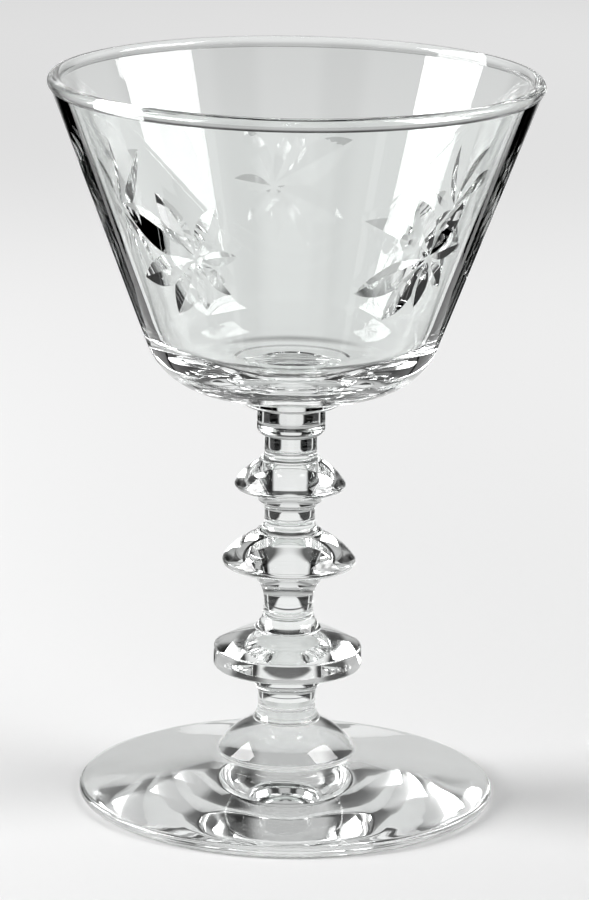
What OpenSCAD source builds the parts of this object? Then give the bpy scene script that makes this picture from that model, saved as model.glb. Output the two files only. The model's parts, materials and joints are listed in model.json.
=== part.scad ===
// Cut cocktail glass: a flared bowl with a rolled rim on a stem of three wafers, over a round foot.
// Every piece is a gather of glass turned about Z, welded to the next one on a flat seat.
// Millimetres. The foot stands on z = 0 and the bowl opens upward.

/* [Foot] */
// Diameter of the foot
foot_d = 68.6; // [64:0.2:74]
// Thickness of the foot at its rounded edge
foot_edge = 1.8; // [1.5:0.1:2.4]
// Height of the flat seat in the middle of the foot
foot_h = 6.4; // [5.6:0.1:7.2]
// Inside diameter of the flat ring that the glass stands on
ring_d = 54; // [46:1:58]
// Depth of the hollow under the middle of the foot
hollow = 0.25; // [0.15:0.05:0.5]

/* [Foot collar] */
// Diameter of the collar at its widest
foot_collar_d = 22.7; // [21.5:0.1:22.7]
// Height of the collar
foot_collar_h = 6.3; // [6.3:0.1:7]
// Radius round its widest edge
foot_collar_edge = 0.95; // [0.7:0.05:1.0]
// Radius of the dome on the collar
foot_collar_dome = 13.45; // [13.45:0.05:14.5]

/* [Wafers] */
// Diameter of the lower wafer
lower_d = 24.36; // [22:0.02:25]
// Height of the lower wafer between its two seats
lower_h = 6.6; // [6.4:0.1:7]
// Height of the straight part of the lower wafer's edge
lower_side = 2.7; // [2.3:0.05:2.8]
// Radius of the dome on the lower wafer
lower_dome = 22; // [21:0.5:25]
// Diameter of the middle wafer
middle_d = 21.9; // [20.5:0.1:23]
// Height of the middle wafer between its two seats
middle_h = 7.1; // [6.7:0.1:7.6]
// Radius of the dome on the middle wafer
middle_dome = 13.45; // [13:0.05:14.5]
// Diameter of the upper wafer
upper_d = 18.2; // [17.2:0.1:18.8]
// Height of the upper wafer between its two seats
upper_h = 5.5; // [5.2:0.1:6]
// Radius of the dome on the upper wafer
upper_dome = 10.6; // [10.3:0.1:11.6]

/* [Stem] */
// Diameter of the neck between foot and lower wafer
neck_4_d = 9.56; // [8.8:0.02:10.2]
// Height of the fourth spool
spool_4_h = 8.9; // [8.2:0.1:10]
// Diameter of the neck between lower and middle wafer
neck_3_d = 8.2; // [7.6:0.05:8.8]
// Height of the third spool
spool_3_h = 9.4; // [8.8:0.1:10.6]
// Diameter of the neck between middle and upper wafer
neck_2_d = 8.36; // [7.8:0.02:8.9]
// Height of the second spool
spool_2_h = 6.7; // [6.2:0.1:7.6]
// Diameter of the neck under the bowl collar
neck_1_d = 8.6; // [8:0.05:9]
// Height of the upper spool
spool_1_h = 4.3; // [3.6:0.1:5.4]

/* [Bowl collar] */
// Diameter of the collar under the bowl
collar_d = 11.2; // [10.6:0.1:12]
// Height of the collar with its flange
collar_h = 7.7; // [7:0.1:8.6]
// Diameter of the flange that carries the bowl
flange_d = 16.2; // [14.5:0.1:18]
// Thickness of the flange
flange_h = 2.6; // [2:0.1:3]

/* [Bowl] */
// Outside diameter over the rolled rim
rim_d = 80; // [76:0.5:84]
// Thickness of the rolled rim
rim_bead = 2.3; // [2.1:0.05:2.6]
// Height of the bowl from its seat to the top of the rim
bowl_h = 51.5; // [48:0.5:56]
// Outside diameter where the straight wall, carried on down, would meet the seat
bowl_low_d = 41.7; // [40:0.1:44]
// Thickness of the wall just under the rim
wall_top = 1.75; // [1.6:0.05:1.9]
// Thickness of the wall near the bottom
wall_low = 2.85; // [2.5:0.05:3.2]
// Thickness of the bottom of the bowl
bottom_t = 5.1; // [4.2:0.1:6]
// Outside radius of the heel of the bowl
heel_r = 12; // [11:0.5:13]
// Inside radius of the corner between wall and bottom, less than that of the heel by this much
corner_less = 3; // [2:0.5:4]
// Diameter of the shallow tool mark in the middle of the bottom, inside the bowl
mark_d = 19; // [17:0.5:21]
// Diameter of the second, deeper ring of the tool mark
mark_low_d = 10.4; // [9:0.2:12]
// Depth of each of the two steps of the tool mark
mark_step = 0.2; // [0.1:0.05:0.3]

/* [Cutting] */
// Number of leaf sprays round the bowl
sprays = 5; // [4:1:5]
// Height of the middle of the sprays above the seat of the bowl
spray_h = 26.6; // [25:0.2:28]
// Depth of the leaf cuts as a share of their length
cut_share = 0.065; // [0.055:0.005:0.07]
// Slope of the two sides of a leaf cut, in degrees
cut_slope = 18; // [17:1:24]
// Gap between a leaf and the middle of its spray
spray_gap = 0.6; // [0.4:0.1:1.2]
// Turn of the sprays about the axis
spray_turn = -119; // [-180:1:180]

/* [Hidden] */
$fn = 180;
lap = 0.04;
neck_blend = 0.05;
lip = 0.06;
foot_collar_top = 5.5;
foot_margin = 0.2;
flare_4 = 2.7;
collar_4 = 5.8;
collar_4_flare = 2.4;
collar_4_h = 2.3;
lower_seat = collar_4 + 0.5;
lower_edge = 0.4;
lower_top = 5.5;
flare_3 = 3.6;
collar_3 = 5.2;
collar_3_flare = 3.2;
collar_3_h = 1.1;
middle_seat = collar_3 + 0.4;
middle_edge = 0.8;
middle_top = 5.3;
flare_2 = 2;
collar_2 = 5.15;
collar_2_flare = 1.7;
collar_2_h = 1.3;
upper_seat = collar_2 + 0.35;
upper_edge = 0.6;
upper_top = 4.9;
flare_1 = 1.3;
knob_margin = 0.05;
fillet = 0.6;
fillet_h = 0.7;
flange_edge = 0.6;
wheel_rim = 1.6;
leaves = [
    [26, 12.2], [60, 15.4], [113, 13], [150, 11.6], [180, 8.4], [-25, 10.6], [-78, 6.6], [-140, 7]
];
z_foot_collar = foot_h;
z_spool_4 = z_foot_collar + foot_collar_h;
z_lower = z_spool_4 + spool_4_h;
z_spool_3 = z_lower + lower_h;
z_middle = z_spool_3 + spool_3_h;
z_spool_2 = z_middle + middle_h;
z_upper = z_spool_2 + spool_2_h;
z_spool_1 = z_upper + upper_h;
z_collar = z_spool_1 + spool_1_h;
z_bowl = z_collar + collar_h;
bead_r = rim_bead / 2;
bead_x = rim_d / 2 - bead_r;
bead_z = bowl_h - bead_r;
wall_x = bead_x + 0.85 * bead_r;
wall_k = (wall_x - bowl_low_d / 2) / bead_z;
wall_tilt = atan(wall_k);
inner_low = bowl_low_d / 2 - wall_low;
inner_k = (wall_x - wall_top - inner_low) / bead_z;
inner_r = heel_r - corner_less;

// Piece to draw, or all of them

// Half of a disc, flat side to the axis
module half_disc(r) {
    intersection() {
        circle(r = r);
        translate([0, -2 * r]) square([2 * r, 4 * r]);
    }
}

// Quarter of a disc, below its centre or above it
module quarter_disc(r, up) {
    intersection() {
        circle(r = r);
        translate([0, up ? 0 : -2 * r]) square([2 * r, 2 * r]);
    }
}

// Rounds to a micron, so that outlines that share a corner meet exactly
function micron(v) = round(1000 * v) / 1000;

// Radius of the circle that sweeps out by d over a height h
function sweep_r(d, h) = micron((d * d + h * h) / (2 * d));

// Hollow flare: radius wide at z = 0, sweeping in to radius neck at z = h
module flare(neck, wide, h) {
    r = sweep_r(wide - neck, h);
    difference() {
        square([wide + neck_blend, h]);
        translate([neck + r, h]) circle(r = r);
    }
}

// Stem piece: flare on the wafer below, straight neck, flare and short collar under the wafer above
module spool_profile(h, low, low_h, neck, high, high_h, collar) {
    flare(neck, low, low_h);
    translate([0, low_h]) square([neck, h - low_h - high_h - collar]);
    translate([0, h - collar]) mirror([0, 1]) flare(neck, high, high_h);
    translate([0, h - collar]) square([high + lip, collar]);
}

// Wafer: flat seat, dished underside, rounded edge and a dome up to the flat seat on top
module wafer_profile(r, h, seat, top, edge, side, dome) {
    centre = h - sqrt(dome * dome - top * top);
    reach = r - edge;
    edge_z = micron(centre + sqrt(pow(dome - edge + lap, 2) - reach * reach));
    low_z = edge_z - side;
    polygon([[0, 0], [seat, 0], [reach, low_z - edge], [reach, edge_z], [0, edge_z]]);
    if (side > 0) {
        translate([reach, low_z]) quarter_disc(edge, false);
        translate([reach, low_z]) square([edge, side]);
        translate([reach, edge_z]) quarter_disc(edge, true);
    } else {
        translate([reach, edge_z]) half_disc(edge);
    }
    intersection() {
        translate([0, centre]) circle(r = dome);
        translate([0, edge_z]) square([reach, h - edge_z]);
    }
}

// Foot: a shallow cone with a rounded edge, slightly hollow underneath inside its standing ring
module foot() {
    edge = foot_edge / 2;
    reach = foot_d / 2 - edge;
    seat = foot_collar_d / 2 - foot_collar_edge + foot_margin;
    color([0.86, 0.90, 0.90])
    rotate_extrude() {
        polygon([
            [0, hollow], [ring_d / 2, 0], [reach, 0], [reach, foot_edge], [seat, foot_h], [0, foot_h]
        ]);
        translate([reach, edge]) half_disc(edge);
    }
}

// Foot collar: a domed button with a rounded edge that tucks in over the foot
module foot_collar() {
    reach = foot_collar_d / 2 - foot_collar_edge;
    color([0.78, 0.86, 0.88])
    translate([0, 0, z_foot_collar])
    rotate_extrude()
    wafer_profile(
        foot_collar_d / 2, foot_collar_h, reach - foot_margin, foot_collar_top,
        foot_collar_edge, 0, foot_collar_dome
    );
}

// Fourth spool: the stoutest neck, between the foot collar and the lower wafer
module fourth_spool() {
    color([0.86, 0.90, 0.90])
    translate([0, 0, z_spool_4])
    rotate_extrude()
    spool_profile(
        spool_4_h, foot_collar_top, flare_4, neck_4_d / 2, collar_4, collar_4_flare, collar_4_h
    );
}

// Lower wafer: a thick disc with an upright edge and a low dome
module lower_wafer() {
    color([0.78, 0.86, 0.88])
    translate([0, 0, z_lower])
    rotate_extrude()
    wafer_profile(lower_d / 2, lower_h, lower_seat, lower_top, lower_edge, lower_side, lower_dome);
}

// Third spool: the longest neck, between the lower and the middle wafer
module third_spool() {
    color([0.86, 0.90, 0.90])
    translate([0, 0, z_spool_3])
    rotate_extrude()
    spool_profile(spool_3_h, lower_top, flare_3, neck_3_d / 2, collar_3, collar_3_flare, collar_3_h);
}

// Middle wafer: a domed disc with a round edge
module middle_wafer() {
    color([0.78, 0.86, 0.88])
    translate([0, 0, z_middle])
    rotate_extrude()
    wafer_profile(middle_d / 2, middle_h, middle_seat, middle_top, middle_edge, 0, middle_dome);
}

// Second spool: a short neck between the middle and the upper wafer
module second_spool() {
    color([0.86, 0.90, 0.90])
    translate([0, 0, z_spool_2])
    rotate_extrude()
    spool_profile(spool_2_h, middle_top, flare_2, neck_2_d / 2, collar_2, collar_2_flare, collar_2_h);
}

// Upper wafer: the smallest disc, with a steep dome
module upper_wafer() {
    color([0.78, 0.86, 0.88])
    translate([0, 0, z_upper])
    rotate_extrude()
    wafer_profile(upper_d / 2, upper_h, upper_seat, upper_top, upper_edge, 0, upper_dome);
}

// Upper spool: a flare and a plain neck under the bowl collar
module upper_spool() {
    neck = neck_1_d / 2;
    color([0.86, 0.90, 0.90])
    translate([0, 0, z_spool_1])
    rotate_extrude() {
        flare(neck, upper_top, flare_1);
        translate([0, flare_1]) square([neck, spool_1_h - flare_1]);
    }
}

// Bowl collar: a round knob with the flange that carries the bowl
module bowl_collar() {
    r = collar_d / 2;
    seat = neck_1_d / 2 + knob_margin;
    knob = r - seat;
    flange_z = collar_h - flange_h;
    flange_r = flange_d / 2;
    color([0.78, 0.86, 0.88])
    translate([0, 0, z_collar])
    rotate_extrude() {
        square([seat, knob]);
        translate([seat, knob]) quarter_disc(knob, false);
        translate([0, knob]) square([r, flange_z - knob - fillet_h]);
        translate([0, flange_z]) mirror([0, 1]) flare(r, r + fillet, fillet_h);
        translate([0, flange_z]) square([flange_r - flange_edge, flange_edge]);
        translate([flange_r - flange_edge, flange_z + flange_edge]) quarter_disc(flange_edge, false);
        translate([0, flange_z + flange_edge]) square([flange_r, flange_h - flange_edge]);
    }
}

// Outline of a flared cup: round bottom corner of radius r, then a straight wall of slope k from x at z = 0
module cup_profile(x, k, floor_z, r, top_z) {
    lean = sqrt(1 + k * k);
    corner_z = floor_z + r;
    corner_x = micron(x + k * corner_z - (r - lap) * lean);
    turn_z = micron(corner_z - r * k / lean);
    polygon([
        [0, floor_z], [corner_x, floor_z], [corner_x, turn_z],
        [x + k * turn_z, turn_z], [x + k * top_z, top_z], [0, top_z]
    ]);
    translate([corner_x, corner_z]) quarter_disc(r, false);
}

// Round step pressed into the bottom of the bowl, with a sloping edge
module tool_mark_profile(r, top_z) {
    polygon([[0, top_z - mark_step], [r - 2 * mark_step, top_z - mark_step], [r, top_z], [0, top_z]]);
}

// Leaf cut: the part of a V-edged wheel that meets the wall, for a leaf that leans by an angle from upright.
// The leaf runs outward from the middle of the spray; a longer leaf is cut deeper.
module leaf_cut(lean, length) {
    away = length / 2 + spray_gap;
    depth = cut_share * length;
    z = spray_h + away * cos(lean) * cos(wall_tilt);
    r = bowl_low_d / 2 + wall_k * z;
    bend = pow(sin(lean), 2) * cos(wall_tilt) / r;
    wheel = 1 / (8 * depth / (length * length) - bend);
    swing = 2 * asin(length / wheel / 2) + 4;
    half = wheel_rim / tan(cut_slope);
    rotate([0, 0, -away * sin(lean) / r * 180 / PI])
    translate([r, 0, z])
    rotate([0, wall_tilt, 0])
    rotate([lean, 0, 0])
    translate([wheel - depth, 0, 0])
    rotate([90, 0, 0])
    rotate([0, 0, 180 - swing / 2])
    rotate_extrude(angle = swing)
    polygon([[wheel, 0], [wheel - wheel_rim, half], [wheel - wheel_rim, -half]]);
}

// Spray: leaves round one point of the wall, the long ones all on one side
module leaf_spray() {
    for (leaf = leaves) {
        leaf_cut(leaf[0], leaf[1]);
    }
}

// Bowl: flared wall with a rolled rim and a heavy bottom, cut with sprays of leaves
module bowl() {
    color([0.86, 0.90, 0.90])
    translate([0, 0, z_bowl])
    difference() {
        rotate_extrude() {
            difference() {
                cup_profile(bowl_low_d / 2, wall_k, 0, heel_r, bead_z);
                cup_profile(inner_low, inner_k, bottom_t, inner_r, bowl_h + 1);
                tool_mark_profile(mark_d / 2, bottom_t);
                tool_mark_profile(mark_low_d / 2, bottom_t - mark_step);
            }
            translate([bead_x, bead_z]) circle(r = bead_r);
        }
        for (i = [0 : sprays - 1]) {
            rotate([0, 0, spray_turn + i * 360 / sprays]) leaf_spray();
        }
    }
}

foot();
foot_collar();
fourth_spool();
lower_wafer();
third_spool();
middle_wafer();
second_spool();
upper_wafer();
upper_spool();
bowl_collar();
bowl();
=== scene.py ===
import json
import math

import bpy
from mathutils import Matrix, Vector

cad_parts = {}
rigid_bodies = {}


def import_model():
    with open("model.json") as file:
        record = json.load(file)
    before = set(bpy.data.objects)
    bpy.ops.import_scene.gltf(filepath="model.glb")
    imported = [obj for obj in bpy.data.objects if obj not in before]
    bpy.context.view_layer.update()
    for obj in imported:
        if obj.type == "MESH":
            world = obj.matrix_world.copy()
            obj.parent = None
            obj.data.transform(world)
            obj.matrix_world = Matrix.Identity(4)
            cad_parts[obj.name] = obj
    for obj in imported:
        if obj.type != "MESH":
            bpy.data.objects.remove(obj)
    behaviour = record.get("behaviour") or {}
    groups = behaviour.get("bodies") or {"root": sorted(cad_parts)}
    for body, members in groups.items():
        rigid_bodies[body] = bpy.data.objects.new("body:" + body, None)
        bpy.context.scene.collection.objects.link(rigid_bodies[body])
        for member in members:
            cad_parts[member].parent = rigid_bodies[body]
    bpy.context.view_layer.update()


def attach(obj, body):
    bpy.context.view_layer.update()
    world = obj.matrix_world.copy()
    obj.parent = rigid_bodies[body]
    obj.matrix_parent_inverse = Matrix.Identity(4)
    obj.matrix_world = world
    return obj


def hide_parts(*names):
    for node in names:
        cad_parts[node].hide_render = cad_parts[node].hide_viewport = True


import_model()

# Foot: a gather of clear glass pressed flat into a shallow cone with a fire-polished round edge.
# Its underside is hollow inside a flat ring, so that the glass stands without rocking.
# The foot collar is welded hot onto the flat seat in its middle.
MM = 0.001
CREASE = math.radians(12)
FOOT_STEPS = 360
foot_r = 34.3
foot_edge = 0.9
foot_seat = 10.6
foot_top = 6.4
ring_r = 27.0
hollow = 0.25
collar_weld = 10.0


def arc(x, z, r, start, end, count):
    """Points on a circle about (x, z), from one angle to the other, in degrees and with both ends."""
    turns = [math.radians(start + (end - start) * i / count) for i in range(count + 1)]
    return [(x + r * math.cos(t), z + r * math.sin(t)) for t in turns]


def line(a, b, count):
    """Points from a to b, without a, so that a straight stretch has several rings."""
    return [(a[0] + (b[0] - a[0]) * i / count, a[1] + (b[1] - a[1]) * i / count)
            for i in range(1, count + 1)]


def turn(name, outline, steps):
    """Draws half of a section by extruding one point along the outline, in mm, and spins it about Z."""
    bpy.ops.object.select_all(action="DESELECT")
    bpy.ops.mesh.primitive_circle_add(vertices=3, radius=MM)
    piece = bpy.context.object
    piece.name = name
    piece.data.name = name
    bpy.ops.object.mode_set(mode="EDIT")
    bpy.ops.mesh.merge(type="CENTER")
    x, z = outline[0]
    bpy.ops.transform.translate(value=(x * MM, 0, z * MM))
    for next_x, next_z in outline[1:]:
        move = ((next_x - x) * MM, 0, (next_z - z) * MM)
        bpy.ops.mesh.extrude_region_move(TRANSFORM_OT_translate={"value": move})
        x, z = next_x, next_z
    bpy.ops.mesh.select_all(action="SELECT")
    bpy.ops.mesh.spin(steps=steps, angle=2 * math.pi, center=(0, 0, 0), axis=(0, 0, 1))
    bpy.ops.mesh.select_all(action="SELECT")
    same_point = 0.002 * MM
    bpy.ops.mesh.remove_doubles(threshold=same_point)
    bpy.ops.mesh.normals_make_consistent(inside=False)
    bpy.ops.object.mode_set(mode="OBJECT")
    return piece


def linear(hex_colour):
    """A colour written as sRGB hex, turned to the linear numbers that a shader takes."""
    parts = [int(hex_colour[i:i + 2], 16) / 255 for i in (0, 2, 4)]
    return [c / 12.92 if c <= 0.04045 else ((c + 0.055) / 1.055) ** 2.4 for c in parts] + [1]


def add(tree, kind, inputs=(), **settings):
    """Adds a shader node with its own settings; an input is (socket, value) or (socket, node, output)."""
    made = tree.nodes.new(kind)
    for name, value in settings.items():
        setattr(made, name, value)
    for socket, source, *output in inputs:
        if output:
            tree.links.new(source.outputs[output[0]], made.inputs[socket])
        else:
            made.inputs[socket].default_value = source
    return made


def material(name):
    """An empty node material with its output node."""
    made = bpy.data.materials.new(name)
    made.use_nodes = True
    made.node_tree.nodes.clear()
    return made, made.node_tree, made.node_tree.nodes.new("ShaderNodeOutputMaterial")


def clear_glass(name, ripple, depth):
    """Clear soda-lime glass, fire polished: the eye sees sharp reflections and bent views through it,
    and the flame leaves a faint ripple of this width and depth, in mm, that makes their edges wander."""
    made, tree, output = material(name)
    place = add(tree, "ShaderNodeTexCoord")
    wave = add(tree, "ShaderNodeTexNoise", [
        ("Vector", place, "Object"), ("Scale", 1 / (ripple * MM)),
        ("Detail", 1.0), ("Roughness", 0.35)])
    bump = add(tree, "ShaderNodeBump", [("Height", wave, "Fac"), ("Distance", depth * MM)])
    glass = add(tree, "ShaderNodeBsdfPrincipled", [
        ("Normal", bump, "Normal"), ("Base Color", linear("FBFDFC")), ("Roughness", 0.0),
        ("IOR", 1.52), ("Transmission Weight", 1.0)])
    tree.links.new(glass.outputs["BSDF"], output.inputs["Surface"])
    return made


# Where two gathers have run together there is no surface left, so light goes straight on.
# The weld is the second material of each piece.
WELD_SLOT = 1
weld, tree, output = material("fused_weld")
through = add(tree, "ShaderNodeBsdfTransparent")
tree.links.new(through.outputs["BSDF"], output.inputs["Surface"])


def fuse(piece, height, radius):
    """Gives the faces of a flat seat to the weld, inside the radius where the next gather is welded on."""
    same_height = 0.001 * MM
    for face in piece.data.polygons:
        middle = face.center
        flat = abs(face.normal.z) > 0.99
        level = abs(middle.z - height * MM) < same_height
        if flat and level and math.hypot(middle.x, middle.y) < radius * MM:
            face.material_index = WELD_SLOT


def finish(piece, glass):
    """Materials, smooth faces with sharp creases, and the piece's place in the frame."""
    piece.data.materials.append(glass)
    piece.data.materials.append(weld)
    bpy.ops.object.select_all(action="DESELECT")
    piece.select_set(True)
    bpy.context.view_layer.objects.active = piece
    bpy.ops.object.shade_smooth_by_angle(angle=CREASE)
    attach(piece, "root")


foot_reach = foot_r - foot_edge
bow = (hollow ** 2 + ring_r ** 2) / (2 * hollow)
bow_swing = math.degrees(math.asin(ring_r / bow))
outline = arc(0, hollow - bow, bow, 90, 90 - bow_swing, 16)
outline += line(outline[-1], (foot_reach, 0), 3)
outline += arc(foot_reach, foot_edge, foot_edge, -90, 90, 24)[1:]
outline += line(outline[-1], (foot_seat, foot_top), 12)
outline += [(collar_weld, foot_top), (0, foot_top)]
foot = turn("foot_glass", outline, FOOT_STEPS)
foot_glass = clear_glass("pressed_soda_lime_foot", ripple=14.0, depth=0.2)
finish(foot, foot_glass)
fuse(foot, foot_top, collar_weld)
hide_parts("foot")

# Foot collar: a domed button of the same glass, pressed onto the foot while both are soft.
# Its rounded edge overhangs the weld, which shows as a dark ring.
STEM_STEPS = 240
BEAD = 0.35
collar_h = 6.3
fourth_low = 5.5
stem_glass = clear_glass("hot_welded_soda_lime_stem", ripple=4.0, depth=0.008)


def domed_disc(name, base, height, weld_r, r, seat, top, edge, side, dome):
    """Turns a disc with a rounded edge and a dome; heights and radii in mm, base is its lower weld.
    Below are the weld and the flat seat round it, then an edge with an upright side, and on top of the
    dome a flat. The weld there is a little smaller than the flat, as the neck's foot is rounded."""
    middle = height - math.sqrt(dome ** 2 - top ** 2)
    reach = r - edge
    edge_z = middle + math.sqrt((dome - edge) ** 2 - reach ** 2)
    low_z = edge_z - side
    tangent = math.degrees(math.atan2(edge_z - middle, reach))
    crown = math.degrees(math.acos(top / dome))
    outline = [(0, base), (weld_r, base), (seat, base)]
    outline += line(outline[-1], (reach, base + low_z - edge), 6)
    outline += arc(reach, base + low_z, edge, -90, 0, 12)[1:]
    if side > 0:
        outline += line(outline[-1], (r, base + edge_z), 5)
    outline += arc(reach, base + edge_z, edge, 0, tangent, 12)[1:]
    outline += arc(0, base + middle, dome, tangent, crown, 16)[1:]
    outline += [(top - BEAD, base + height), (0, base + height)]
    piece = turn(name, outline, STEM_STEPS)
    finish(piece, stem_glass)
    fuse(piece, base, weld_r)
    fuse(piece, base + height, top - BEAD)
    return piece


foot_collar = domed_disc(
    "foot_collar_glass", base=foot_top, height=collar_h, weld_r=collar_weld, r=11.35, seat=10.2,
    top=fourth_low, edge=0.95, side=0, dome=13.5)
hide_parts("foot_collar")

# Spools: short necks of the stem, each drawn in at the waist and flared where it meets a wafer.
# They are worked between the wafers with a pointed tool, which leaves a crisp line at each weld.
LIP = 0.06
# Heights of the necks and wafers up the stem, and of the weld under each.
fourth_h = 8.9
lower_wafer_h = 6.6
third_h = 9.4
middle_wafer_h = 7.1
second_h = 6.7
upper_wafer_h = 5.5
upper_h = 4.3
fourth_z = foot_top + collar_h
lower_wafer_z = fourth_z + fourth_h
third_z = lower_wafer_z + lower_wafer_h
middle_wafer_z = third_z + third_h
second_z = middle_wafer_z + middle_wafer_h
upper_wafer_z = second_z + second_h
upper_z = upper_wafer_z + upper_wafer_h
knob_z = upper_z + upper_h
# Radii of the necks' flared ends, which the wafers' seats follow.
fourth_high = 5.8
third_low = 5.5
third_high = 5.2
second_low = 5.3
second_high = 5.15
upper_low = 4.9
upper_neck = 4.3


def flare(neck, wide, low, high):
    """Hollow curve from a wide radius at one height to the neck at the other."""
    rise = abs(high - low)
    r = ((wide - neck) ** 2 + rise ** 2) / (2 * (wide - neck))
    rings = 14
    heights = [low + (high - low) * i / rings for i in range(1, rings + 1)]
    return [(neck + r - math.sqrt(r * r - (high - z) ** 2), z) for z in heights]


def rounded_foot(neck, low, base, low_h):
    """Lower end of a neck: a small bead that leaves a fine groove over the weld, then the flare."""
    outline = [(0, base), (low - BEAD, base)] + arc(low - BEAD, base + BEAD, BEAD, -90, 0, 8)[1:]
    return outline + flare(neck, low, base + BEAD, base + low_h)


def spool(name, base, height, low, low_h, neck, high, high_h, collar):
    """Turns one neck; heights and radii in mm, base is its lower weld. It flares from the neck to its
    low and high ends over their own heights, and a straight collar is left on top."""
    top = base + height
    outline = rounded_foot(neck, low, base, low_h)
    outline += line(outline[-1], (neck, top - collar - high_h), 4)
    swept = flare(neck, high, top - collar, top - collar - high_h)[::-1]
    outline += swept[1:] + [(high, top - collar), (high + LIP, top - collar)]
    outline += line(outline[-1], (high + LIP, top), 3) + [(0, top)]
    piece = turn(name, outline, STEM_STEPS)
    finish(piece, stem_glass)
    fuse(piece, base, low - BEAD)
    fuse(piece, top, high + LIP)
    return piece


fourth_spool = spool(
    "fourth_spool_glass", base=fourth_z, height=fourth_h, low=fourth_low, low_h=2.7, neck=4.78,
    high=fourth_high, high_h=2.4, collar=2.3)
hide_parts("fourth_spool")
third_spool = spool(
    "third_spool_glass", base=third_z, height=third_h, low=third_low, low_h=3.6, neck=4.1,
    high=third_high, high_h=3.2, collar=1.1)
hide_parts("third_spool")
second_spool = spool(
    "second_spool_glass", base=second_z, height=second_h, low=second_low, low_h=2.0, neck=4.18,
    high=second_high, high_h=1.7, collar=1.3)
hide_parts("second_spool")

outline = rounded_foot(neck=upper_neck, low=upper_low, base=upper_z, low_h=1.3)
outline += line(outline[-1], (upper_neck, knob_z), 5) + [(0, knob_z)]
upper_spool = turn("upper_spool_glass", outline, STEM_STEPS)
finish(upper_spool, stem_glass)
fuse(upper_spool, upper_z, upper_low - BEAD)
fuse(upper_spool, knob_z, upper_neck)
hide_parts("upper_spool")

# Wafers: flattened drops of glass between the necks, dished below and domed above.
# The lower one has an upright edge; the other two have round edges.
# Each is welded hot to the neck below it and to the neck above it.
lower_wafer = domed_disc(
    "lower_wafer_glass", base=lower_wafer_z, height=lower_wafer_h, weld_r=fourth_high + LIP, r=12.18,
    seat=6.3, top=third_low, edge=0.4, side=2.7, dome=22)
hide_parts("lower_wafer")
middle_wafer = domed_disc(
    "middle_wafer_glass", base=middle_wafer_z, height=middle_wafer_h, weld_r=third_high + LIP, r=10.95,
    seat=5.6, top=second_low, edge=0.8, side=0, dome=13.45)
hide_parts("middle_wafer")
upper_wafer = domed_disc(
    "upper_wafer_glass", base=upper_wafer_z, height=upper_wafer_h, weld_r=second_high + LIP, r=9.1,
    seat=5.5, top=upper_low, edge=0.6, side=0, dome=10.6)
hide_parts("upper_wafer")

# Bowl collar: a round knob of glass with a flange, which takes the weight of the bowl.
# The flange is pressed flat against the bowl's bottom, so its edge is nearly square.
knob_r = 5.6
knob_seat = 4.35
knob_edge = knob_r - knob_seat
fillet_r = knob_r + 0.6
fillet_h = 0.7
flange_z = 66.3
flange_r = 8.1
flange_edge = 0.6
flange_reach = flange_r - flange_edge
bowl_z = 68.9
outline = [(0, knob_z), (upper_neck, knob_z), (knob_seat, knob_z)]
outline += arc(knob_seat, knob_z + knob_edge, knob_edge, -90, 0, 14)[1:]
outline += line(outline[-1], (knob_r, flange_z - fillet_h), 4)
outline += flare(knob_r, fillet_r, flange_z, flange_z - fillet_h)[::-1][1:]
outline += [(fillet_r, flange_z)] + line((fillet_r, flange_z), (flange_reach, flange_z), 2)
outline += arc(flange_reach, flange_z + flange_edge, flange_edge, -90, 0, 10)[1:]
outline += line(outline[-1], (flange_r, bowl_z), 4) + [(0, bowl_z)]
bowl_collar = turn("bowl_collar_glass", outline, STEM_STEPS)
finish(bowl_collar, stem_glass)
fuse(bowl_collar, knob_z, upper_neck)
fuse(bowl_collar, bowl_z, flange_r)
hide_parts("bowl_collar")

# Bowl: blown clear glass with a heavy bottom, a straight flared wall and a rolled, fire-polished rim.
# Its bottom is welded to the flange of the bowl collar.
# Sprays of leaves are then cut into the outside on a V-edged stone wheel and polished.
BOWL_STEPS = 432
rim_r = 40
bowl_h = 51.5
bead_r = 1.15
bead_x = rim_r - bead_r
bead_z = bowl_h - bead_r
bead_share = 0.85
low_r = 20.85
low_wall = 2.85
top_wall = 1.75
wall_x = bead_x + bead_share * bead_r
wall_k = (wall_x - low_r) / bead_z
wall_tilt = math.atan(wall_k)
inner_low = low_r - low_wall
inner_k = (wall_x - top_wall - inner_low) / bead_z
inner_tilt = math.atan(inner_k)
bottom_t = 5.1
heel_r = 12.0
inner_r = 9.0
mark_r = 9.5
mark_low_r = 5.2
mark_step = 0.2


def bead_angle(x, k):
    """Angle on the rim's bead at which a wall that starts at x and leans by k runs into it."""
    lean = math.sqrt(1 + k * k)
    off = (x + k * bead_z - bead_x) / lean
    along = math.sqrt(bead_r ** 2 - off ** 2)
    return math.degrees(math.atan2(-off * k / lean - along / lean, off / lean - along * k / lean))


heel_x = low_r + wall_k * heel_r - heel_r * math.sqrt(1 + wall_k ** 2)
corner_z = bottom_t + inner_r
corner_x = inner_low + inner_k * corner_z - inner_r * math.sqrt(1 + inner_k ** 2)
bead = arc(bead_x, bead_z, bead_r, bead_angle(low_r, wall_k), 360 + bead_angle(inner_low, inner_k), 44)
outline = [(0, 0), (flange_r, 0)] + line((flange_r, 0), (heel_x, 0), 3)
outline += arc(heel_x, heel_r, heel_r, -90, -math.degrees(wall_tilt), 28)[1:]
outline += line(outline[-1], bead[0], 28) + bead[1:]
corner = arc(corner_x, corner_z, inner_r, -math.degrees(inner_tilt), -90, 24)
outline += line(bead[-1], corner[0], 18) + corner[1:]
outline += line(corner[-1], (mark_r, bottom_t), 3)
outline += [(mark_r - 2 * mark_step, bottom_t - mark_step)]
outline += line(outline[-1], (mark_low_r, bottom_t - mark_step), 3)
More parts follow.
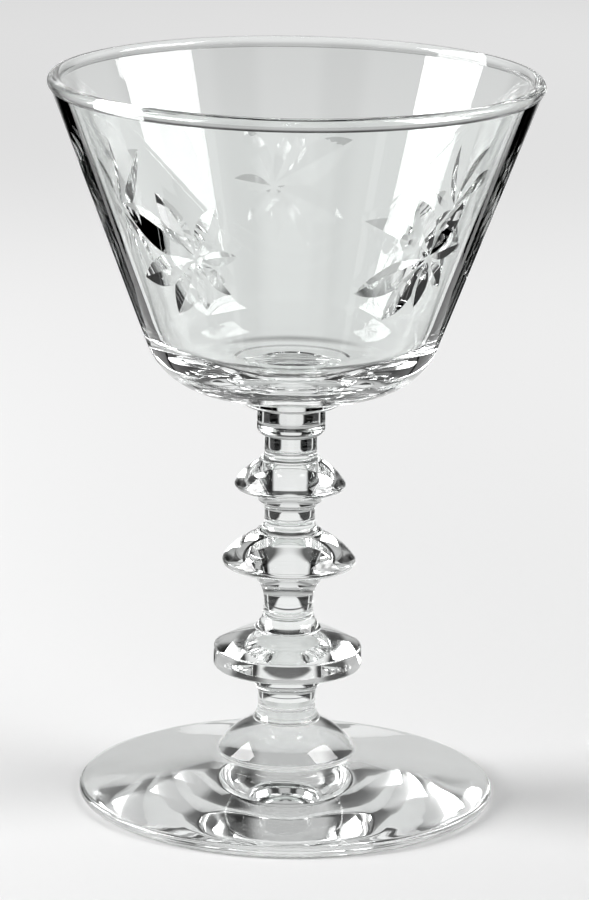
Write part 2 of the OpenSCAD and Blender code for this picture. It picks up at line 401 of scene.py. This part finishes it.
outline += [(mark_low_r - 2 * mark_step, bottom_t - 2 * mark_step), (0, bottom_t - 2 * mark_step)]
bowl = turn("bowl_glass", [(x, bowl_z + z) for x, z in outline], BOWL_STEPS)

sprays = 5
spray_z = 26.6
spray_turn = -119
spray_gap = 0.6
cut_share = 0.065
cut_slope = 18
wheel_rim = 1.6
wheel_overrun = 4
leaves = [(26, 12.2), (60, 15.4), (113, 13.0), (150, 11.6),
          (180, 8.4), (-25, 10.6), (-78, 6.6), (-140, 7.0)]
wheel_cut = clear_glass("wheel_cut_soda_lime", ripple=0.8, depth=0.001)
cutters = bpy.data.collections.new("cutting_wheel")
bpy.context.scene.collection.children.link(cutters)


def leaf_cutter(lean, length):
    """The part of the V-edged wheel that bites into the wall for one leaf, as a closed wedge. The leaf
    leans from upright by so many degrees, and its length is in mm."""
    tip = math.radians(lean)
    away = length / 2 + spray_gap
    depth = cut_share * length
    z = spray_z + away * math.cos(tip) * math.cos(wall_tilt)
    r = low_r + wall_k * z
    bend = math.sin(tip) ** 2 * math.cos(wall_tilt) / r
    wheel = 1 / (8 * depth / length ** 2 - bend)
    swing = 2 * math.asin(length / wheel / 2) + math.radians(wheel_overrun)
    half = wheel_rim / math.tan(math.radians(cut_slope))
    bpy.ops.object.select_all(action="DESELECT")
    bpy.ops.mesh.primitive_circle_add(vertices=3, radius=1, fill_type="NGON")
    piece = bpy.context.object
    bpy.ops.object.mode_set(mode="EDIT")
    bpy.ops.transform.resize(value=(2 * half / math.sqrt(3) * MM, wheel_rim / 1.5 * MM, 1),
                             center_override=(0, 0, 0))
    bpy.ops.object.mode_set(mode="OBJECT")
    rim_middle = (wheel - wheel_rim * 2 / 3) * MM
    stand = Matrix(((0, 1, 0, rim_middle), (0, 0, 1, 0), (1, 0, 0, 0), (0, 0, 0, 1)))
    piece.data.transform(Matrix.Rotation(math.pi - swing / 2, 4, "Z") @ stand)
    bpy.ops.object.mode_set(mode="EDIT")
    bpy.ops.mesh.select_all(action="SELECT")
    bpy.ops.mesh.spin(steps=24, angle=swing, center=(0, 0, 0), axis=(0, 0, -1))
    bpy.ops.mesh.select_all(action="SELECT")
    bpy.ops.mesh.normals_make_consistent(inside=False)
    bpy.ops.object.mode_set(mode="OBJECT")
    turned = math.radians(spray_turn) - away * math.sin(tip) / r
    piece.data.transform(
        Matrix.Translation((0, 0, bowl_z * MM))
        @ Matrix.Rotation(turned, 4, "Z")
        @ Matrix.Translation((r * MM, 0, z * MM))
        @ Matrix.Rotation(wall_tilt, 4, "Y")
        @ Matrix.Rotation(tip, 4, "X")
        @ Matrix.Translation(((wheel - depth) * MM, 0, 0))
        @ Matrix.Rotation(math.pi / 2, 4, "X")
    )
    piece.data.materials.append(wheel_cut)
    for owner in piece.users_collection:
        owner.objects.unlink(piece)
    cutters.objects.link(piece)


for lean, length in leaves:
    leaf_cutter(lean, length)
for first in list(cutters.objects):
    for i in range(1, sprays):
        copy = first.copy()
        copy.data = first.data.copy()
        copy.data.transform(Matrix.Rotation(2 * math.pi * i / sprays, 4, "Z"))
        cutters.objects.link(copy)

bpy.ops.object.select_all(action="DESELECT")
bowl.select_set(True)
bpy.context.view_layer.objects.active = bowl
bowl_glass = clear_glass("blown_soda_lime_bowl", ripple=9.0, depth=0.01)
bowl.data.materials.append(bowl_glass)
bowl.data.materials.append(weld)
fuse(bowl, bowl_z, flange_r)
cut = bowl.modifiers.new("leaf_cutting", "BOOLEAN")
cut.operation = "DIFFERENCE"
cut.operand_type = "COLLECTION"
cut.collection = cutters
cut.solver = "MANIFOLD"
cut.material_mode = "TRANSFER"
bpy.ops.object.modifier_apply(modifier=cut.name)
for piece in list(cutters.objects):
    bpy.data.objects.remove(piece)
bpy.data.collections.remove(cutters)
bpy.ops.object.shade_smooth_by_angle(angle=CREASE)
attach(bowl, "root")
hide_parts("bowl")

# Studio: a white paper table under the glass, a soft panel lamp on each side, a pale room with dark
# pillars painted into its reflections only, and a camera at the photograph's height that looks a little
# down.
# Beside the glass, where only light bent by the glass comes from, the paper is painted dark as if black
# cards lay there, as the glass shows it but not to the camera: this painted shade draws the glass's edges.
table_w = 8
table_z = -0.0001
bpy.ops.object.select_all(action="DESELECT")
bpy.ops.mesh.primitive_plane_add(size=table_w, location=(0, 0, table_z))
floor = bpy.context.object
floor.name = "paper_table"
paper, tree, output = material("matt_white_paper")
path = add(tree, "ShaderNodeLightPath")
place = add(tree, "ShaderNodeTexCoord")
spot = add(tree, "ShaderNodeSeparateXYZ", [("Vector", place, "Object")])
away = add(tree, "ShaderNodeVectorMath", [(0, place, "Object")], operation="LENGTH")
beside = add(tree, "ShaderNodeMath", [(0, spot, "X")], operation="ABSOLUTE")
behind = add(tree, "ShaderNodeMath", [(0, spot, "Y")], operation="ABSOLUTE")

# Painted shade: the paper's colour is darker towards the left lamp, which stands low and would burn it
# out.
shade = add(tree, "ShaderNodeMapRange", [
    ("Value", spot, "X"), ("From Min", -0.45), ("From Max", -0.08),
    ("To Min", linear("5A5A5A")[0]), ("To Max", linear("E1E1E1")[0])], interpolation_type="SMOOTHSTEP")

# As the glass shows it, the paper is painted dark except in eight narrow lanes that lead away from the
# glass, and a wider one to each side, so that it is clear from everywhere.
lane_count = 8.0
lane_edge = 0.94
side_lane = 0.012
side_spread = 0.2
azimuth = add(tree, "ShaderNodeMath", [(0, spot, "X"), (1, spot, "Y")], operation="ARCTAN2")
eighths = add(tree, "ShaderNodeMath", [(0, azimuth, 0), (1, lane_count)], operation="MULTIPLY")
swing = add(tree, "ShaderNodeMath", [(0, eighths, 0)], operation="COSINE")
lanes = add(tree, "ShaderNodeMath", [(0, swing, 0), (1, lane_edge)], operation="GREATER_THAN")
opening = add(tree, "ShaderNodeMath", [(0, beside, 0), (1, side_spread), (2, side_lane)],
              operation="MULTIPLY_ADD")
across = add(tree, "ShaderNodeMath", [(0, behind, 0), (1, opening, 0)], operation="LESS_THAN")
lanes = add(tree, "ShaderNodeMath", [(0, lanes, 0), (1, across, 0)], operation="MAXIMUM")

# Seen through the stem, the paper is not painted dark in a wider lane in front and behind, under the foot
# and far out. Mirrored by the outside of the glass, it is not painted dark all round the foot.
lane_spread = 0.17
under_r = 0.037
near_r = 0.2
first_face = 0.5
slant = add(tree, "ShaderNodeMath", [(0, behind, 0), (1, -lane_spread), (2, beside, 0)],
            operation="MULTIPLY_ADD")
lane = add(tree, "ShaderNodeMapRange", [
    ("Value", slant, 0), ("From Min", 0.016), ("From Max", 0.028), ("To Min", 1.0), ("To Max", 0.0)],
    interpolation_type="SMOOTHSTEP")
under = add(tree, "ShaderNodeMath", [(0, away, "Value"), (1, under_r)], operation="LESS_THAN")
distant = add(tree, "ShaderNodeMapRange", [
    ("Value", away, "Value"), ("From Min", 0.4), ("From Max", 0.5)], interpolation_type="SMOOTHSTEP")
central = add(tree, "ShaderNodeMapRange", [
    ("Value", beside, 0), ("From Min", 0.12), ("From Max", 0.30), ("To Min", 1.0), ("To Max", 0.5)],
    interpolation_type="SMOOTHSTEP")
beyond = add(tree, "ShaderNodeMath", [(0, distant, 0), (1, central, 0)], operation="MULTIPLY")
outside = add(tree, "ShaderNodeMath", [(0, path, "Transmission Depth"), (1, first_face)],
              operation="LESS_THAN")
close = add(tree, "ShaderNodeMath", [(0, away, "Value"), (1, near_r)], operation="LESS_THAN")
mirrored = add(tree, "ShaderNodeMath", [(0, outside, 0), (1, close, 0)], operation="MULTIPLY")
stem_paper = lane
for patch in (lanes, under, beyond, mirrored):
    stem_paper = add(tree, "ShaderNodeMath", [(0, stem_paper, 0), (1, patch, 0)], operation="MAXIMUM")

# A narrow strip of painted shade lies across that lane behind the foot, as if a dark card lay there:
# it darkens the lower wafer's upright edge.
dark_strip_y = 0.0735
past_dark_strip = add(tree, "ShaderNodeMath", [(0, spot, "Y"), (1, dark_strip_y)], operation="SUBTRACT")
off_dark_strip = add(tree, "ShaderNodeMath", [(0, past_dark_strip, 0)], operation="ABSOLUTE")
painted_dark_strip = add(tree, "ShaderNodeMapRange", [
    ("Value", off_dark_strip, 0), ("From Min", 0.0035), ("From Max", 0.0065),
    ("To Min", 0.12), ("To Max", 1.0)], interpolation_type="SMOOTHSTEP")
stem_paper = add(tree, "ShaderNodeMath", [(0, stem_paper, 0), (1, painted_dark_strip, 0)], operation="MULTIPLY")

# Seen through both walls of the bowl, it is painted dark only far out at the sides and in a ring by the
# foot.
middle_x = 0.1
ring_inside = 0.05
shifted = add(tree, "ShaderNodeMath", [(0, spot, "X"), (1, middle_x)], operation="SUBTRACT")
sideways = add(tree, "ShaderNodeMath", [(0, shifted, 0)], operation="ABSOLUTE")
middle = add(tree, "ShaderNodeMapRange", [
    ("Value", sideways, 0), ("From Min", 0.15), ("From Max", 0.65), ("To Min", 1.0), ("To Max", 0.0)],
    interpolation_type="SMOOTHSTEP")
backdrop = add(tree, "ShaderNodeMapRange", [
    ("Value", away, "Value"), ("From Min", 0.5), ("From Max", 0.7)], interpolation_type="SMOOTHSTEP")
bowl_paper = middle
for patch in (lanes, backdrop):
    bowl_paper = add(tree, "ShaderNodeMath", [(0, bowl_paper, 0), (1, patch, 0)], operation="MAXIMUM")
inside = add(tree, "ShaderNodeMath", [(0, away, "Value"), (1, ring_inside)], operation="LESS_THAN")
around = add(tree, "ShaderNodeMapRange", [
    ("Value", away, "Value"), ("From Min", 0.085), ("From Max", 0.125)], interpolation_type="SMOOTHSTEP")
ring = add(tree, "ShaderNodeMath", [(0, inside, 0), (1, around, 0)], operation="MAXIMUM")
bowl_paper = add(tree, "ShaderNodeMath", [(0, bowl_paper, 0), (1, ring, 0)], operation="MULTIPLY")

# Light that has crossed more than three faces came through both walls of the bowl.
three_faces = 3.5
walls = add(tree, "ShaderNodeMath", [(0, path, "Transmission Depth"), (1, three_faces)],
            operation="GREATER_THAN")
# Seen in the glass, the paper glows, more through both walls of the bowl, and takes the lamps' light;
# where it is painted dark, both are cut away.
not_painted_dark = add(tree, "ShaderNodeMix", [("Factor", walls, 0), ("A", stem_paper, 0), ("B", bowl_paper, 0)])
glow_share = add(tree, "ShaderNodeMapRange", [("Value", walls, 0), ("To Min", 0.55), ("To Max", 0.75)])
matt_share = add(tree, "ShaderNodeMapRange", [("Value", walls, 0), ("To Min", 0.40), ("To Max", 0.04)])
glow_strength = add(tree, "ShaderNodeMath", [(0, not_painted_dark, 0), (1, glow_share, 0)], operation="MULTIPLY")
matt = add(tree, "ShaderNodeMath", [(0, not_painted_dark, 0), (1, matt_share, 0)], operation="MULTIPLY")
matt = add(tree, "ShaderNodeMath", [(0, matt, 0), (1, shade, 0)], operation="MULTIPLY")
glow = add(tree, "ShaderNodeEmission", [("Strength", glow_strength, 0)])
sheet = add(tree, "ShaderNodeBsdfDiffuse", [("Color", matt, 0)])
through_glass = add(tree, "ShaderNodeAddShader", [(0, glow, 0), (1, sheet, 0)])

# The camera itself sees the paper with the glass's shadows and the painted shade by the left lamp, and a
# glow
# that rises away from the glass: painted light that makes it a little brighter away from the glass.
rise = add(tree, "ShaderNodeMapRange", [
    ("Value", away, "Value"), ("From Min", 0.05), ("From Max", 0.5), ("To Min", 0.02), ("To Max", 0.30)],
    interpolation_type="SMOOTHSTEP")
far_glow_rise = add(tree, "ShaderNodeMapRange", [
    ("Value", away, "Value"), ("From Min", 0.45), ("From Max", 0.85), ("To Min", 0.0), ("To Max", 0.2)],
    interpolation_type="SMOOTHSTEP")
level = add(tree, "ShaderNodeMath", [(0, rise, 0), (1, far_glow_rise, 0)], operation="ADD")
painted_glow = add(tree, "ShaderNodeEmission", [("Strength", level, 0)])
plain_sheet = add(tree, "ShaderNodeBsdfDiffuse", [("Color", shade, 0)])
plain = add(tree, "ShaderNodeAddShader", [(0, painted_glow, 0), (1, plain_sheet, 0)])
seen = add(tree, "ShaderNodeMixShader", [
    (0, path, "Is Camera Ray"), (1, through_glass, 0), (2, plain, 0)])
tree.links.new(seen.outputs[0], output.inputs["Surface"])
floor.data.materials.append(paper)


def softbox(name, place, facing, wide, tall, radiance):
    """A soft panel lamp at a place in metres, facing a direction, that the camera doesn't see itself."""
    bpy.ops.object.light_add(type="AREA", location=place)
    lamp = bpy.context.object
    lamp.name = name
    lamp.data.shape = "RECTANGLE"
    lamp.data.size = wide
    lamp.data.size_y = tall
    lamp.data.energy = radiance * math.pi * wide * tall
    lamp.visible_camera = False
    lamp.rotation_euler = (-Vector(facing)).to_track_quat("Z", "Y").to_euler()


softbox("right_softbox", place=(0.60, -0.01, 0.55), facing=(-0.85, 0.525, -0.35),
        wide=0.575, tall=0.40, radiance=8.0)
softbox("left_softbox", place=(-0.53, 0.014, 0.35), facing=(1, 0, -0.3),
        wide=0.33, tall=0.40, radiance=13.0)

# Where the glass mirrors it, the room is pale with soft dark pillars and a dark ceiling: painted
# reflections, for the camera sees the room evenly pale. Where light only bends through a thin edge such as
# the rim, it darkens above the horizon, lower at the sides: painted shade on such edges. It hardly lights
# the paper.
room_level = 0.65
paper_light = 0.05
open_level = 0.7
painted_pillar_count = 6
painted_pillar_turn = 26
side_drop = 0.25
first_mirror = 0.5
world = bpy.data.worlds.new("studio")
bpy.context.scene.world = world
world.use_nodes = True
tree = world.node_tree
tree.nodes.clear()
path = add(tree, "ShaderNodeLightPath")
place = add(tree, "ShaderNodeTexCoord")
aim = add(tree, "ShaderNodeSeparateXYZ", [("Vector", place, "Generated")])
azimuth = add(tree, "ShaderNodeMath", [(0, aim, "X"), (1, aim, "Y")], operation="ARCTAN2")
sixths = add(tree, "ShaderNodeMath", [
    (0, azimuth, 0), (1, painted_pillar_count), (2, math.radians(-painted_pillar_count * painted_pillar_turn))],
    operation="MULTIPLY_ADD")
swing = add(tree, "ShaderNodeMath", [(0, sixths, 0)], operation="COSINE")
painted_pillars = add(tree, "ShaderNodeMapRange", [
    ("Value", swing, 0), ("From Min", -0.2), ("From Max", 0.8),
    ("To Min", room_level), ("To Max", 0.03)], interpolation_type="SMOOTHSTEP")
painted_ceiling = add(tree, "ShaderNodeMapRange", [
    ("Value", aim, "Z"), ("From Min", 0.72), ("From Max", 0.82), ("To Min", 1.0), ("To Max", 0.05)],
    interpolation_type="SMOOTHSTEP")
painted_room_reflection = add(tree, "ShaderNodeMath", [(0, painted_pillars, 0), (1, painted_ceiling, 0)], operation="MULTIPLY")
side = add(tree, "ShaderNodeMath", [(0, aim, "X")], operation="ABSOLUTE")
lift = add(tree, "ShaderNodeMath", [(0, side, 0), (1, side_drop), (2, aim, "Z")],
           operation="MULTIPLY_ADD")
horizon = add(tree, "ShaderNodeMapRange", [
    ("Value", lift, 0), ("From Min", 0.17), ("From Max", 0.50),
    ("To Min", room_level), ("To Max", 0.02)], interpolation_type="SMOOTHSTEP")
bent = add(tree, "ShaderNodeMix", [
    ("Factor", path, "Is Transmission Ray"), ("A", paper_light), ("B", horizon, 0)])
mirrors = add(tree, "ShaderNodeMath", [(0, path, "Glossy Depth"), (1, first_mirror)],
              operation="GREATER_THAN")
room = add(tree, "ShaderNodeMix", [("Factor", mirrors, 0), ("A", bent, 0), ("B", painted_room_reflection, 0)])
shown = add(tree, "ShaderNodeMix", [
    ("Factor", path, "Is Camera Ray"), ("A", room, 0), ("B", open_level)])
back = add(tree, "ShaderNodeBackground", [("Strength", shown, 0)])
add(tree, "ShaderNodeOutputWorld", [("Surface", back, "Background")])

# The camera is fitted to the ellipses of the rim and the foot, in a picture 900 pixels high.
PICTURE_PX = 900
FOCAL_PX = 4611.3
SHIFT_PX = 3.76
sensor = 36
camera_place = (0, -0.730, 0.24588)
camera_tilt = 14.403
camera_roll = 0.94
bpy.ops.object.camera_add()
camera = bpy.context.object
camera.data.sensor_width = sensor
camera.data.lens = FOCAL_PX / PICTURE_PX * sensor
camera.data.shift_x = SHIFT_PX / PICTURE_PX
camera.data.clip_start = 0.01
camera.matrix_world = (
    Matrix.Translation(camera_place)
    @ Matrix.Rotation(math.radians(90 - camera_tilt), 4, "X")
    @ Matrix.Rotation(math.radians(camera_roll), 4, "Z")
)
bpy.context.scene.camera = camera

# Light crosses many faces on its way through the stem, so it may bend and mirror often.
scene = bpy.context.scene
scene.view_settings.view_transform = "Standard"
scene.cycles.max_bounces = 32
scene.cycles.transmission_bounces = 32
scene.cycles.glossy_bounces = 16
scene.cycles.transparent_max_bounces = 32
